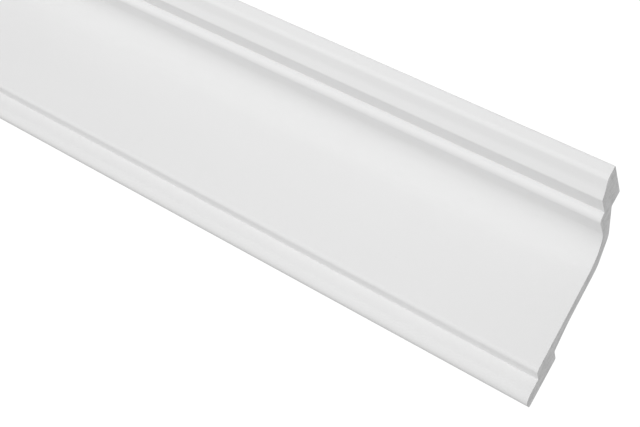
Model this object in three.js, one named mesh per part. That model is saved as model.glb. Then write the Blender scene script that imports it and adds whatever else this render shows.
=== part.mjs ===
// Crown moulding length, moulded in one piece to fill the corner between a wall and a ceiling.
// Millimetres, +Z up. The length runs along X and the moulded face looks towards -Y.
// The origin is the middle of the flat seat that lies on the wall.
import * as THREE from "three";

// Overall size
const LENGTH = 1000; // cut square at both ends
const DROP = 100; // from the ceiling down the wall
const PROJECTION = 95; // from the wall out under the ceiling

// Flat seats behind and above
const WALL_SEAT = 27; // height on the wall
const CEILING_SEAT = 35; // width on the ceiling

// Crown of the face: an upright fillet under the ceiling, then a splay back to the nose,
// bent a little so that it is steeper at the nose
const FILLET = 6.4; // height
const BEND_SETBACK = 6.8; // bend of the splay behind the fillet
const BEND_DROP = 3.4; // bend of the splay below the fillet
const NOSE_SETBACK = 11.2; // nose behind the fillet
const NOSE_DROP = 6.9; // nose below the fillet

// Soffit behind the nose, and the bead below it
const SOFFIT = 16.6; // width
const BEAD = 4.5; // height

// Body: a cove under the bead, then a plain face that leans in a little to the foot
const COVE = 19; // radius
const BODY_TOP_OUT = 30.8; // face out from the wall at the foot of the cove
const BODY_FOOT_OUT = 26.5; // face out from the wall above the lip

// Lip that lies against the wall at the foot
const LIP_HEIGHT = 12.9;
const LIP_THICKNESS = 14.4;
const STEP_RISE = 1.6; // underside of the body is this much higher at the front

// Hollow back
const PAD_DEPTH = 7.6; // step behind the ceiling seat
const PAD_RISE = 1.5; // top of the wall pad is this much higher at the front
const WEB_SLOPE = THREE.MathUtils.degToRad(13); // back of the web between ceiling pad and cove
const COVE_WALL = 9.5; // behind the middle of the cove
const BODY_WALL = 11.2; // behind the plain face
const FOOT_WALL = 15.2; // behind the plain face, above the wall pad
const WAIST_ABOVE_PAD = 14.5; // height over which the wall thins from foot to body

// Softened corners of the moulding
const ARRIS = 0.7; // crisp corners
const FILLET_ROUND = 3; // lower edge of the fillet
const BEND_ROUND = 15;
const NOSE_ROUND = 2;
const BEAD_ROUND = 4.1;
const BODY_FOOT_ROUND = 3;
const LIP_ROUND = 6.4; // foot of the lip, in front
const SEAT_ROUND = 1.4; // ends of the wall seat and of the wall pad
const BACK_ROUND = 10; // bends of the back
const WAIST_ROUND = 40;

// Greatest gap allowed between an arc and its facets
const FACET_GAP = 0.02;

// A corner of the section: out from the wall, up from the foot, and the radius it is rounded to
const corner = (out, up, radius) => ({ point: new THREE.Vector2(-out, up), radius });

// Point where two lines meet, each given by a point and a direction
function meet(a, alongA, b, alongB) {
  const reach = b.clone().sub(a).cross(alongB) / alongA.cross(alongB);
  return a.clone().addScaledVector(alongA, reach);
}

// Points of a closed outline whose corners are rounded by arcs tangent to both sides.
// Where the arcs at the two ends of a side need more than the side has, their radii are cut down.
function roundedOutline(corners) {
  const bends = corners.map(({ point, radius }, i) => {
    const back = corners.at(i - 1).point.clone().sub(point);
    const on = corners[(i + 1) % corners.length].point.clone().sub(point);
    const side = on.length();
    const half = back.angleTo(on) / 2;
    const reach = radius / Math.tan(half);
    return { point, radius, back: back.normalize(), on: on.normalize(), side, half, reach };
  });
  return bends.flatMap(({ point, radius, back, on, side, half, reach }, i) => {
    const before = bends.at(i - 1);
    const after = bends[(i + 1) % bends.length];
    const share = Math.min(before.side / (before.reach + reach), side / (reach + after.reach));
    const r = radius * Math.min(1, share);
    const middle = back.clone().add(on).normalize();
    const centre = point.clone().addScaledVector(middle, r / Math.sin(half));
    const from = point.clone().addScaledVector(back, r / Math.tan(half)).sub(centre);
    const turn = (Math.PI - 2 * half) * Math.sign(on.cross(back));
    const steps = Math.ceil(Math.abs(turn) / (2 * Math.acos(1 - FACET_GAP / r)));
    return Array.from({ length: steps + 1 }, (_, k) => {
      return from.clone().rotateAround(new THREE.Vector2(), (turn * k) / steps).add(centre);
    });
  });
}

// Face of the section, from the ceiling down to the foot
function faceCorners() {
  const filletUp = DROP - FILLET;
  const noseOut = PROJECTION - NOSE_SETBACK;
  const soffitUp = filletUp - NOSE_DROP;
  const beadOut = noseOut - SOFFIT;
  const coveUp = soffitUp - BEAD;
  return [
    corner(PROJECTION, DROP, ARRIS),
    corner(PROJECTION, filletUp, FILLET_ROUND),
    corner(PROJECTION - BEND_SETBACK, filletUp - BEND_DROP, BEND_ROUND),
    corner(noseOut, soffitUp, NOSE_ROUND),
    corner(beadOut, soffitUp, ARRIS / 2),
    corner(beadOut, coveUp, BEAD_ROUND),
    corner(BODY_TOP_OUT, coveUp, COVE),
    corner(BODY_FOOT_OUT, LIP_HEIGHT + STEP_RISE, BODY_FOOT_ROUND),
    corner(LIP_THICKNESS, LIP_HEIGHT, ARRIS),
    corner(LIP_THICKNESS, 0, LIP_ROUND),
  ];
}

// Back of the section, from the foot up to the ceiling
function backCorners(face) {
  const [cove, bodyFoot] = face.slice(6, 8).map(({ point }) => point);
  const lean = cove.clone().sub(bodyFoot).normalize();
  const faceAt = (up) => meet(bodyFoot, lean, new THREE.Vector2(0, up), new THREE.Vector2(1, 0));
  const padTop = WALL_SEAT + PAD_RISE;
  const waist = faceAt(padTop + WAIST_ABOVE_PAD).add(new THREE.Vector2(BODY_WALL, 0));
  const foot = faceAt(padTop).add(new THREE.Vector2(FOOT_WALL, 0));
  // The bend behind the cove is a flat at 45 degrees, as far from the cove's centre as its wall asks
  const diagonal = new THREE.Vector2(1, 1).normalize();
  const coveCentre = cove.clone().add(new THREE.Vector2(-COVE, -COVE));
  const behindCove = coveCentre.addScaledVector(diagonal, COVE + COVE_WALL);
  const alongBend = new THREE.Vector2(-1, 1);
  const seatEdge = new THREE.Vector2(CEILING_SEAT - PROJECTION, DROP);
  const padFoot = seatEdge.clone().sub(new THREE.Vector2(0, PAD_DEPTH));
  const alongWeb = new THREE.Vector2(Math.cos(WEB_SLOPE), -Math.sin(WEB_SLOPE));
  const haunch = meet(waist, lean, behindCove, alongBend);
  const shoulder = meet(padFoot, alongWeb, behindCove, alongBend);
  return [
    corner(0, 0, SEAT_ROUND),
    corner(0, WALL_SEAT, SEAT_ROUND),
    { point: foot, radius: SEAT_ROUND },
    { point: waist, radius: WAIST_ROUND },
    { point: haunch, radius: BACK_ROUND },
    { point: shoulder, radius: BACK_ROUND },
    { point: padFoot, radius: ARRIS },
    { point: seatEdge, radius: ARRIS },
  ];
}

function crownMoulding() {
  const face = faceCorners();
  const outline = roundedOutline([...face, ...backCorners(face)]);
  const geometry = new THREE.ExtrudeGeometry(new THREE.Shape(outline), {
    depth: LENGTH,
    bevelEnabled: false,
  });
  // The section is drawn in X and Y and drawn out along Z: turn it to stand in Y and Z along X
  const across = new THREE.Vector3(0, 1, 0);
  const up = new THREE.Vector3(0, 0, 1);
  const along = new THREE.Vector3(1, 0, 0);
  geometry.translate(0, -WALL_SEAT / 2, -LENGTH / 2);
  geometry.applyMatrix4(new THREE.Matrix4().makeBasis(across, up, along));
  const primedFoam = new THREE.MeshStandardMaterial({
    color: 0xe7e7e6,
    roughness: 0.6,
    metalness: 0,
  });
  const moulding = new THREE.Mesh(geometry, primedFoam);
  moulding.name = "crown_moulding";
  return moulding;
}

const part = new THREE.Group();
part.add(crownMoulding());

export default part;
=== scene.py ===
import math

import bpy
from mathutils import Matrix, Vector


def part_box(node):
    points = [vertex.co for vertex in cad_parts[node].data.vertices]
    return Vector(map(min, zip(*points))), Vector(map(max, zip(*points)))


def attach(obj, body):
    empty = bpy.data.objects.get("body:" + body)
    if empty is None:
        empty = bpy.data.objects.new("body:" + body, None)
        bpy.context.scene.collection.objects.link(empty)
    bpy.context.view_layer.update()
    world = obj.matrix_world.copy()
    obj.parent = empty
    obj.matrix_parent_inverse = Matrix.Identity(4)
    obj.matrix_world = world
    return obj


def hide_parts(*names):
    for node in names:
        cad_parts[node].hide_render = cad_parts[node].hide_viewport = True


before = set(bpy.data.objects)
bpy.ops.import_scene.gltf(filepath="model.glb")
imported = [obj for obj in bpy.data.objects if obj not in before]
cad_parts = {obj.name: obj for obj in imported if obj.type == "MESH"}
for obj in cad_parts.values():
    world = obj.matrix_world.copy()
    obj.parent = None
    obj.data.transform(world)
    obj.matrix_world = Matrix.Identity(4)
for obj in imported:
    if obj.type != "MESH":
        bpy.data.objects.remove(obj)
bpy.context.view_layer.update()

# A crown moulding length in primed rigid foam, drawn as a section and pulled out along X.
# Metres, in the part's own frame: the wall is at y = 0, the face looks towards -Y, +Z is up.

bl_info = {
    "name": "Crown moulding length",
    "version": (1, 0, 0),
    "blender": (4, 5, 0),
    "location": "3D View > Sidebar > Moulding",
    "description": "Models a straight length of foam crown moulding and its studio",
    "category": "Add Mesh",
}

MM = 0.001
NODE = "crown_moulding"
PIECE = "moulding_body"
(LEFT, FRONT, FOOT), (RIGHT, WALL, CEILING) = (Vector(place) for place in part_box(NODE))
PROJECTION = WALL - FRONT
DROP = CEILING - FOOT


# Sizes and colours that a user would change

def distance(name, millimetres, description):
    return bpy.props.FloatProperty(
        name=name,
        description=description,
        default=millimetres * MM,
        min=0.0,
        precision=4,
        subtype="DISTANCE",
        unit="LENGTH",
    )


def angle(name, degrees, description):
    return bpy.props.FloatProperty(
        name=name,
        description=description,
        default=math.radians(degrees),
        subtype="ANGLE",
        unit="ROTATION",
    )


def colour(name, value, description):
    return bpy.props.FloatVectorProperty(
        name=name,
        description=description,
        default=value,
        size=3,
        min=0.0,
        max=1.0,
        subtype="COLOR",
    )


class MouldingSizes(bpy.types.PropertyGroup):
    """Sizes of the section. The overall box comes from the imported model."""

    wall_seat: distance("Wall seat", 27, "Height of the flat on the wall")
    ceiling_seat: distance("Ceiling seat", 35, "Width of the flat on the ceiling")
    fillet: distance("Fillet", 6.4, "Height of the upright band under the ceiling")
    bend_setback: distance("Bend setback", 6.8, "Bend of the splay behind the fillet")
    bend_drop: distance("Bend drop", 3.4, "Bend of the splay below the fillet")
    nose_setback: distance("Nose setback", 11.2, "Nose behind the fillet")
    nose_drop: distance("Nose drop", 6.9, "Nose below the fillet")
    soffit: distance("Soffit", 16.6, "Width of the flat band behind the nose")
    bead: distance("Bead", 4.5, "Height of the bead")
    cove: distance("Cove", 19, "Radius of the cove under the bead")
    body_top_out: distance("Body at the cove", 30.8, "Face out from the wall at the foot of the cove")
    body_foot_out: distance("Body at the foot", 26.5, "Face out from the wall above the lip")
    lip_height: distance("Lip height", 12.9, "Height of the lip")
    lip_thickness: distance("Lip thickness", 14.4, "Thickness of the lip")
    step_rise: distance("Step rise", 1.6, "Rise of the body's underside to the front")
    pad_depth: distance("Ceiling pad", 7.6, "Step behind the ceiling seat")
    pad_rise: distance("Wall pad rise", 1.5, "Rise of the wall pad's top to the front")
    web_slope: angle("Web slope", 13, "Slope of the back of the web under the ceiling")
    cove_wall: distance("Wall at the cove", 9.5, "Thickness behind the middle of the cove")
    body_wall: distance("Wall of the body", 11.2, "Thickness behind the plain face")
    foot_wall: distance("Wall at the foot", 15.2, "Thickness above the wall pad")
    waist_above_pad: distance("Waist height", 14.5, "Height over which the wall thins")
    arris: distance("Arris", 0.7, "Radius of the crisp corners")
    fillet_round: distance("Fillet round", 3, "Radius of the lower edge of the fillet")
    bend_round: distance("Bend round", 15, "Radius of the bend of the splay")
    nose_round: distance("Nose round", 2, "Radius of the nose")
    bead_round: distance("Bead round", 4.1, "Radius of the bead")
    body_foot_round: distance("Body foot round", 3, "Radius of the body's lower edge")
    lip_round: distance("Lip round", 6.4, "Radius at the foot of the lip")
    seat_round: distance("Seat round", 1.4, "Radius at the ends of the wall seat and of the wall pad")
    back_round: distance("Back round", 10, "Radius of the bends of the back")
    waist_round: distance("Waist round", 40, "Radius of the waist of the back")
    cut_arris: distance("Cut edge", 0.3, "Wear along the sawn edges")


class MouldingColours(bpy.types.PropertyGroup):
    """Colours of the finishes."""

    primer: colour("Primer", (0.80, 0.80, 0.80), "Factory primer on the moulded face")
    back_skin: colour("Back skin", (0.80, 0.80, 0.80), "Moulded skin of the hollow back")
    sawn_foam: colour("Sawn foam", (0.80, 0.80, 0.80), "Foam where the length is cut")
    floor: colour("Floor", (0.88, 0.88, 0.88), "Studio floor")


# Shader maths as Python expressions

class Value:
    """A shader socket on which Python's operators add Math nodes."""

    def __init__(self, nodes, socket):
        self.nodes = nodes
        self.socket = socket

    def maths(self, operation, *terms):
        return self.nodes.node("Math", {"operation": operation}, dict(enumerate(terms)))

    def __add__(self, other):
        return self.maths("ADD", self, other)

    def __sub__(self, other):
        return self.maths("SUBTRACT", self, other)

    def __rsub__(self, other):
        return self.maths("SUBTRACT", other, self)

    def __mul__(self, other):
        return self.maths("MULTIPLY", self, other)

    def over(self, start, end):
        """0 at the start, 1 at the end and smooth between them, whichever of the two is greater."""
        settings = {"interpolation_type": "SMOOTHSTEP"}
        return self.nodes.node("MapRange", settings, {"Value": self, "From Min": start, "From Max": end})

    __radd__ = __add__
    __rmul__ = __mul__


class Nodes:
    """The node tree of a material or of the world."""

    def __init__(self, tree):
        self.tree = tree

    def node(self, kind, settings=None, inputs=None, output=0):
        made = self.tree.nodes.new("ShaderNode" + kind)
        for name, value in (settings or {}).items():
            setattr(made, name, value)
        for name, value in (inputs or {}).items():
            self.feed(made.inputs[name], value)
        return Value(self, made.outputs[output])

    def feed(self, socket, value):
        if isinstance(value, Value):
            self.tree.links.new(value.socket, socket)
        else:
            socket.default_value = value


# Sockets of a Mix node that mixes colours
MIX_FACTOR, MIX_A, MIX_B, MIX_RESULT = 0, 6, 7, 2


class Finish(Nodes):
    """A material under construction, with one Principled shader."""

    def __init__(self, name):
        self.material = bpy.data.materials.new(name)
        self.material.use_nodes = True
        super().__init__(self.material.node_tree)
        self.shader = self.tree.nodes["Principled BSDF"]
        self.place = self.node("TexCoord", output="Object")

    def set(self, **values):
        """Sets sockets of the shader, each by its label in small letters."""
        for name, value in values.items():
            self.feed(self.shader.inputs[name.replace("_", " ").title().replace("Ior", "IOR")], value)

    def noise(self, size, detail=2.0, scale=(1, 1, 1)):
        """Noise from 0 to 1 with features of this size, drawn out along an axis scaled under 1."""
        scaled = self.node("Mapping", None, {"Vector": self.place, "Scale": scale}, "Vector")
        return self.node("TexNoise", None, {"Vector": scaled, "Scale": 1 / size, "Detail": detail}, "Fac")

    def cells(self, size):
        """Distance from the middles of cells of this size, as a share of the size."""
        return self.node("TexVoronoi", None, {"Vector": self.place, "Scale": 1 / size}, "Distance")

    def shade(self, dark, light, mask):
        """Colour between two, by a mask from 0 to 1."""
        inputs = {MIX_FACTOR: mask, MIX_A: (*dark, 1), MIX_B: (*light, 1)}
        return self.node("Mix", {"data_type": "RGBA"}, inputs, MIX_RESULT)

    def bump(self, height, depth):
        """Normal from a height of 0 to 1 that stands for this depth in metres."""
        return self.node("Bump", None, {"Height": height, "Distance": depth, "Strength": 1.0}, "Normal")


def tinted(base, factor):
    return tuple(min(1.0, part * factor) for part in base)


# Finishes of the moulding

def primed_face(colours):
    """Sprayed primer over a mould-smooth skin: matt, a little satin, with a fine orange peel."""
    finish = Finish("primed_face")
    broad = finish.noise(90 * MM, 3.0, (0.35, 1, 1))
    passes = finish.noise(16 * MM, 3.0, (0.08, 1, 1))
    peel = finish.noise(2.2 * MM)
    mist = finish.noise(0.5 * MM)
    specks = finish.cells(11 * MM).over(0.055, 0.03)
    tone = broad * 0.6 + passes * 0.4 - specks * 0.5
    finish.set(
        base_color=finish.shade(tinted(colours.primer, 0.975), tinted(colours.primer, 1.02), tone),
        roughness=0.46 + 0.12 * passes + 0.1 * mist,
        specular_ior_level=0.35,
        normal=finish.bump(peel * 0.7 + mist * 0.3 + specks * 0.8, 0.03 * MM),
    )
    return finish.material


def back_skin(colours):
    """Unpainted moulded skin: matt, clouded with flow marks, with pin-sized holes from the mould that are
    dented and darkened with painted shade.
    """
    finish = Finish("back_skin")
    clouds = finish.noise(30 * MM, 4.0)
    flow = finish.noise(12 * MM, 4.0, (0.12, 1, 1))
    grain = finish.noise(1.2 * MM, 3.0)
    # Holes from the mould: real dents in the bump, and painted shade in their darker colour.
    pinholes_with_painted_shade = finish.cells(8.5 * MM).over(0.13, 0.09)
    tone = clouds.over(0.25, 0.75) * 0.6 + flow * 0.4 - pinholes_with_painted_shade * 0.9
    finish.set(
        base_color=finish.shade(tinted(colours.back_skin, 0.88), tinted(colours.back_skin, 1.03), tone),
        roughness=0.62 + 0.2 * clouds,
        specular_ior_level=0.3,
        normal=finish.bump(grain * 0.5 + flow * 0.8 - pinholes_with_painted_shade, 0.12 * MM),
    )
    return finish.material


def planed_seat(colours):
    """Seats planed flat for gluing: scratches along the length, open cells dented and darkened with painted
    shade, and smoother patches.
    """
    finish = Finish("planed_seat")
    scratches = finish.noise(1.1 * MM, 3.0, (0.02, 1, 1))
    patches = finish.noise(22 * MM, 3.0, (0.3, 1, 1)).over(0.35, 0.65)
    # Open cells: real dents in the bump, and painted shade in their darker colour.
    open_cells_with_painted_shade = finish.cells(2.6 * MM).over(0.40, 0.16) * (1 - patches * 0.7)
    tone = open_cells_with_painted_shade * 0.6 + scratches * 0.5 + patches * 0.15
    finish.set(
        base_color=finish.shade(tinted(colours.back_skin, 1.04), tinted(colours.back_skin, 0.76), tone),
        roughness=0.7 + 0.15 * scratches,
        specular_ior_level=0.25,
        normal=finish.bump(scratches * 0.5 - open_cells_with_painted_shade, 0.12 * MM),
    )
    return finish.material


def sawn_end(colours):
    """Cut foam: open cells and a few larger holes, dented and darkened with painted shade, clouds and the
    marks of a fine saw.
    """
    finish = Finish("sawn_end")
    # Small pores and larger holes: real dents in the bump, and painted shade in their darker colour.
    cells = finish.cells(1.2 * MM).over(0.15, 0.6)
    voids_with_painted_shade = finish.cells(4.5 * MM).over(0.26, 0.14)
    clouds = finish.noise(6 * MM, 3.0).over(0.3, 0.7)
    saw = finish.noise(1.4 * MM, 2.0, (1, 1, 0.06))
    tone = clouds * 0.55 + cells * 0.25 + saw * 0.3 - voids_with_painted_shade * 0.4
    finish.set(
        base_color=finish.shade(tinted(colours.sawn_foam, 0.82), tinted(colours.sawn_foam, 1.08), tone),
        roughness=0.76 + 0.16 * clouds,
        specular_ior_level=0.25,
        normal=finish.bump(cells * 0.4 + saw * 0.3 - voids_with_painted_shade, 0.2 * MM),
    )
    return finish.material


# Corners of the section, as (y, z) from its foot at the wall and the radius they are rounded to

def corner(out, up, radius):
    return Vector((-out, up)), radius


def meet(a, along_a, b, along_b):
    """Point where two lines of the section meet, each given by a point and a direction."""
    reach = (b - a).cross(along_b) / along_a.cross(along_b)
    return a + along_a * reach


def face_corners(size):
    """Corners of the face, from the ceiling down to the foot."""
    fillet_up = DROP - size.fillet
    nose_out = PROJECTION - size.nose_setback
    soffit_up = fillet_up - size.nose_drop
    bead_out = nose_out - size.soffit
    cove_up = soffit_up - size.bead
    return [
        corner(PROJECTION, DROP, size.arris),
        corner(PROJECTION, fillet_up, size.fillet_round),
        corner(PROJECTION - size.bend_setback, fillet_up - size.bend_drop, size.bend_round),
        corner(nose_out, soffit_up, size.nose_round),
        corner(bead_out, soffit_up, size.arris / 2),
        corner(bead_out, cove_up, size.bead_round),
        corner(size.body_top_out, cove_up, size.cove),
        corner(size.body_foot_out, size.lip_height + size.step_rise, size.body_foot_round),
        corner(size.lip_thickness, size.lip_height, size.arris),
        corner(size.lip_thickness, 0, size.lip_round),
    ]


def back_corners(size, face):
    """Corners of the hollow back, from the foot up to the ceiling."""
    (cove, _), (body_foot, _) = face[6:8]
    level = Vector((1, 0))
    lean = (cove - body_foot).normalized()

    def behind_body(up, wall):
        return meet(body_foot, lean, Vector((0, up)), level) + level * wall

    pad_top = size.wall_seat + size.pad_rise
    foot = behind_body(pad_top, size.foot_wall)
    waist = behind_body(pad_top + size.waist_above_pad, size.body_wall)
    # The bend behind the cove is a flat at 45 degrees, as far from the cove's centre as its wall asks
    cove_centre = cove - Vector((1, 1)) * size.cove
    behind_cove = cove_centre + Vector((1, 1)).normalized() * (size.cove + size.cove_wall)
    along_bend = Vector((-1, 1))
    seat_edge = Vector((size.ceiling_seat - PROJECTION, DROP))
    pad_foot = seat_edge - Vector((0, size.pad_depth))
    along_web = Vector((math.cos(size.web_slope), -math.sin(size.web_slope)))
    return [
        corner(0, 0, size.seat_round),
        corner(0, size.wall_seat, size.seat_round),
        (foot, size.seat_round),
        (waist, size.waist_round),
        (meet(waist, lean, behind_cove, along_bend), size.back_round),
        (meet(pad_foot, along_web, behind_cove, along_bend), size.back_round),
        (pad_foot, size.arris),
        (seat_edge, size.arris),
    ]


def rounded(corners):
    """For each corner the start of its arc, the arc's centre and its turn."""
    for index, (point, radius) in enumerate(corners):
        back = (corners[index - 1][0] - point).normalized()
        on = (corners[(index + 1) % len(corners)][0] - point).normalized()
        half = back.angle(on) / 2
        centre = point + (back + on).normalized() * (radius / math.sin(half))
        start = point + back * (radius / math.tan(half))
        turn = math.copysign(math.pi - 2 * half, on.cross(back))
        yield start, centre, turn


# Modelling the moulding

FACET_GAP = 0.004 * MM
MERGE_GAP = 0.001 * MM


class SectionPen:
    """Draws the section in edit mode: straight strokes are extruded and round ones are spun."""

    def __init__(self, x, start):
        self.x = x
        self.at = start
        bpy.ops.mesh.primitive_plane_add(size=MM, location=self.on_end(start), rotation=(0, math.pi / 2, 0))
        self.piece = bpy.context.object
        bpy.ops.object.transform_apply(location=True, rotation=True, scale=True)
        bpy.ops.object.mode_set(mode="EDIT")
        bpy.ops.mesh.select_all(action="SELECT")
        bpy.ops.mesh.merge(type="CENTER")
        bpy.ops.mesh.select_mode(type="VERT")

    def on_end(self, point):
        return Vector((self.x, WALL + point.x, FOOT + point.y))

    def line(self, end):
        step = self.on_end(end) - self.on_end(self.at)
        bpy.ops.mesh.extrude_vertices_move(TRANSFORM_OT_translate={"value": step})
        self.at = end

    def arc(self, centre, turn):
        radius = (self.at - centre).length
        steps = max(2, math.ceil(abs(turn) / (2 * math.acos(1 - FACET_GAP / radius))))
        bpy.ops.mesh.spin(
            steps=steps,
            angle=-turn,
            center=self.on_end(centre),
            axis=(1, 0, 0),
            use_auto_merge=False,
        )
        self.at = centre + Matrix.Rotation(turn, 2) @ (self.at - centre)

    def close(self):
        bpy.ops.mesh.select_all(action="SELECT")
        bpy.ops.mesh.remove_doubles(threshold=MERGE_GAP)
        bpy.ops.mesh.edge_face_add()


def draw_section(size):
    """The left hand end as one face, selected in edit mode."""
    face = face_corners(size)
    arcs = list(rounded(face + back_corners(size, face)))
    pen = SectionPen(LEFT, arcs[0][0])
    for index, (start, centre, turn) in enumerate(arcs):
        if index:
            pen.line(start)
        pen.arc(centre, turn)
    pen.close()
    return pen.piece


def pull_out(length):
    bpy.ops.mesh.extrude_region_move(TRANSFORM_OT_translate={"value": (length, 0, 0)})
    bpy.ops.mesh.select_all(action="SELECT")
    bpy.ops.mesh.normals_make_consistent(inside=False)


def ease_cut_edges(piece, width):
    """A small worn chamfer round both sawn ends."""
    bpy.ops.mesh.select_all(action="DESELECT")
    bpy.ops.object.mode_set(mode="OBJECT")
    for polygon in piece.data.polygons:
        polygon.select = abs(polygon.normal.x) > 0.9
    bpy.ops.object.mode_set(mode="EDIT")
    bpy.ops.mesh.select_mode(type="FACE")
    bpy.ops.mesh.region_to_loop()
    bpy.ops.mesh.bevel(offset=width, segments=2, clamp_overlap=True)
    bpy.ops.object.mode_set(mode="OBJECT")


# How close to the wall or the ceiling a face of a seat lies
SEAT_GAP = 0.01 * MM


def finish_of(polygon):
    """Which finish a face of the moulding has, from where it lies and where it looks."""
    looks = polygon.normal
    if abs(looks.x) > 0.5:
        return "end"
    if looks.y + looks.z <= 0:
        return "face"
    if polygon.center.y > WALL - SEAT_GAP or polygon.center.z > CEILING - SEAT_GAP:
        return "seat"
    return "back"


def dress(piece, colours):
    """Gives each face its finish."""
    finishes = {
        "face": primed_face(colours),
        "back": back_skin(colours),
        "seat": planed_seat(colours),
        "end": sawn_end(colours),
    }
    for material in finishes.values():
        piece.data.materials.append(material)
    order = list(finishes)
    for polygon in piece.data.polygons:
        polygon.material_index = order.index(finish_of(polygon))


def smooth(piece):
    """Smooth arcs between flats, with the shading led by the large faces."""
    bpy.ops.object.shade_smooth_by_angle(angle=math.radians(20))
    even = piece.modifiers.new("even_normals", "WEIGHTED_NORMAL")
    even.keep_sharp = True
    even.weight = 100
    bpy.ops.object.modifier_apply(modifier=even.name)


class MOULDING_OT_length(bpy.types.Operator):
    """Model the crown moulding length from its section"""

    bl_idname = "mesh.crown_moulding_length"
    bl_label = "Crown moulding length"
    bl_options = {"REGISTER", "UNDO"}

    def execute(self, context):
        size = context.scene.moulding_sizes
        bpy.ops.object.select_all(action="DESELECT")
        piece = draw_section(size)
        pull_out(RIGHT - LEFT)
        ease_cut_edges(piece, size.cut_arris)
        dress(piece, context.scene.moulding_colours)
        smooth(piece)
        piece.name = PIECE
        piece.data.name = PIECE
        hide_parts(NODE)
        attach(piece, "root")
        return {"FINISHED"}


# Studio

CAMERA_PLACE = Vector((0.59464, -0.56070, -0.04662))
CAMERA_AIM = Vector((0.36715, -0.030, 0.02023))
CAMERA_ROLL = math.radians(30)
LENS = 64.59
SENSOR_WIDTH = 36

FLOOR_LEVEL = -2.4
FLOOR_SIZE = 60
FLOOR_GLOW = 0.6

# Wide suns: name, degrees round from the front towards the right, degrees up, strength
SUNS = (
    ("low_right", 40, -30, 0.63),
    ("low_left", -80, -50, 0.45),
    ("left_high", -80, 45, 0.83),
    ("behind", -155, 35, 1.2),
)
SUN_SPREAD = math.radians(50)
SUN_DISTANCE = 2

# Near soft panel in front of the moulding
PANEL_PLACE = Vector((0.32, -0.95, -0.13))
PANEL_SIZES = 1.0, 0.75
PANEL_WATTS = 4.0

# White all round: how strongly it lights the moulding, and how bright the camera sees it
WHITE = (1, 1, 1, 1)
SURROUND_LIGHT = 0.42
SURROUND_SEEN = 1.05


def photo_camera():
    data = bpy.data.cameras.new("photo_camera")
    data.lens = LENS
    data.sensor_width = SENSOR_WIDTH
    camera = bpy.data.objects.new("photo_camera", data)
    bpy.context.collection.objects.link(camera)
    level = (CAMERA_AIM - CAMERA_PLACE).to_track_quat("-Z", "Y").to_matrix().to_4x4()
    camera.matrix_world = Matrix.Translation(CAMERA_PLACE) @ level @ Matrix.Rotation(CAMERA_ROLL, 4, "Z")
    bpy.context.scene.camera = camera


def glowing_floor(colours):
    """White matt floor, lit from below so that it runs into the white around it."""
    finish = Finish("studio_floor")
    broad = finish.noise(0.8)
    tone = finish.shade(tinted(colours.floor, 0.99), tinted(colours.floor, 1.01), broad)
    finish.set(base_color=tone, emission_color=tone, emission_strength=FLOOR_GLOW, roughness=0.85)
    return finish.material


def lay_floor(colours):
    """Floor far below the moulding. The low lights pass it, and it throws no light on the moulding."""
    bpy.ops.mesh.primitive_plane_add(size=FLOOR_SIZE, location=(0, 0, FLOOR_LEVEL))
    bpy.ops.object.transform_apply(location=True, rotation=True, scale=True)
    floor = bpy.context.object
    floor.name = "studio_floor"
    floor.visible_shadow = False
    floor.visible_diffuse = False
    floor.visible_glossy = False
    floor.data.materials.append(glowing_floor(colours))


def wide_sun(name, round_from_front, up, strength):
    """Sun that shines from this direction."""
    side = math.radians(round_from_front)
    height = math.radians(up)
    level = math.cos(height)
    source = Vector((math.sin(side) * level, -math.cos(side) * level, math.sin(height)))
    bpy.ops.object.light_add(type="SUN", location=source * SUN_DISTANCE)
    light = bpy.context.object
    light.name = name
    light.data.energy = strength
    light.data.angle = SUN_SPREAD
    light.rotation_euler = (-source).to_track_quat("-Z", "Y").to_euler()


def soft_panel():
    """Panel, unseen itself, that looks straight at the middle of the section."""
    bpy.ops.object.light_add(type="AREA", location=PANEL_PLACE)
    light = bpy.context.object
    light.name = "front_panel"
    light.data.shape = "RECTANGLE"
    light.data.size, light.data.size_y = PANEL_SIZES
    light.data.energy = PANEL_WATTS
    light.visible_camera = False
    middle = Vector((PANEL_PLACE.x, (FRONT + WALL) / 2, (FOOT + CEILING) / 2))
    light.rotation_euler = (middle - PANEL_PLACE).to_track_quat("-Z", "Y").to_euler()


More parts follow.
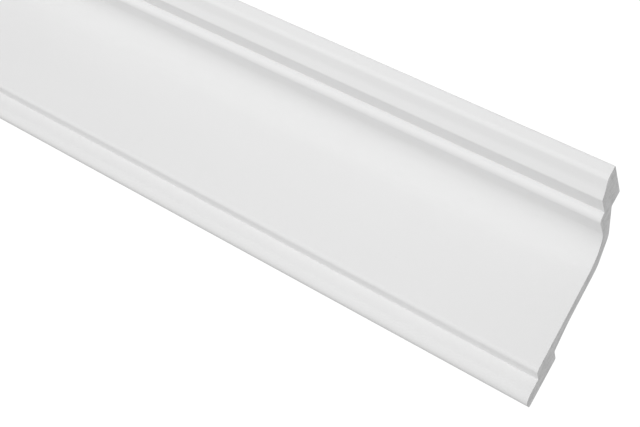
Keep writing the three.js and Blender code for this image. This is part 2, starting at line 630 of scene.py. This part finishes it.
def white_surround():
    world = bpy.data.worlds.new("white_surround")
    bpy.context.scene.world = world
    world.use_nodes = True
    world.node_tree.nodes.clear()
    surround = Nodes(world.node_tree)
    lighting = surround.node("Background", None, {"Color": WHITE, "Strength": SURROUND_LIGHT})
    seen = surround.node("Background", None, {"Color": WHITE, "Strength": SURROUND_SEEN})
    by_camera = surround.node("LightPath", output="Is Camera Ray")
    mixed = surround.node("MixShader", None, {0: by_camera, 1: lighting, 2: seen})
    out = world.node_tree.nodes.new("ShaderNodeOutputWorld")
    surround.feed(out.inputs["Surface"], mixed)


class MOULDING_OT_studio(bpy.types.Operator):
    """Set up the floor, the soft lights, the white surround and the camera of the photograph"""

    bl_idname = "scene.moulding_studio"
    bl_label = "Studio"
    bl_options = {"REGISTER", "UNDO"}

    def execute(self, context):
        bpy.ops.object.select_all(action="DESELECT")
        lay_floor(context.scene.moulding_colours)
        for sun in SUNS:
            wide_sun(*sun)
        soft_panel()
        white_surround()
        photo_camera()
        context.scene.view_settings.view_transform = "Standard"
        return {"FINISHED"}


class MOULDING_PT_panel(bpy.types.Panel):
    """Sizes, colours and steps of the moulding"""

    bl_idname = "MOULDING_PT_panel"
    bl_label = "Crown moulding"
    bl_space_type = "VIEW_3D"
    bl_region_type = "UI"
    bl_category = "Moulding"

    def draw(self, context):
        for group in (context.scene.moulding_sizes, context.scene.moulding_colours):
            box = self.layout.box()
            for name in group.bl_rna.properties.keys():
                if name not in {"rna_type", "name"}:
                    box.prop(group, name)
        for operator in OPERATORS:
            self.layout.operator(operator.bl_idname)


OPERATORS = (MOULDING_OT_length, MOULDING_OT_studio)
CLASSES = (MouldingSizes, MouldingColours, *OPERATORS, MOULDING_PT_panel)


def register():
    for item in CLASSES:
        bpy.utils.register_class(item)
    bpy.types.Scene.moulding_sizes = bpy.props.PointerProperty(type=MouldingSizes)
    bpy.types.Scene.moulding_colours = bpy.props.PointerProperty(type=MouldingColours)


def unregister():
    del bpy.types.Scene.moulding_colours
    del bpy.types.Scene.moulding_sizes
    for item in reversed(CLASSES):
        bpy.utils.unregister_class(item)


def main():
    register()
    bpy.ops.mesh.crown_moulding_length()
    bpy.ops.scene.moulding_studio()


if __name__ == "__main__":
    main()
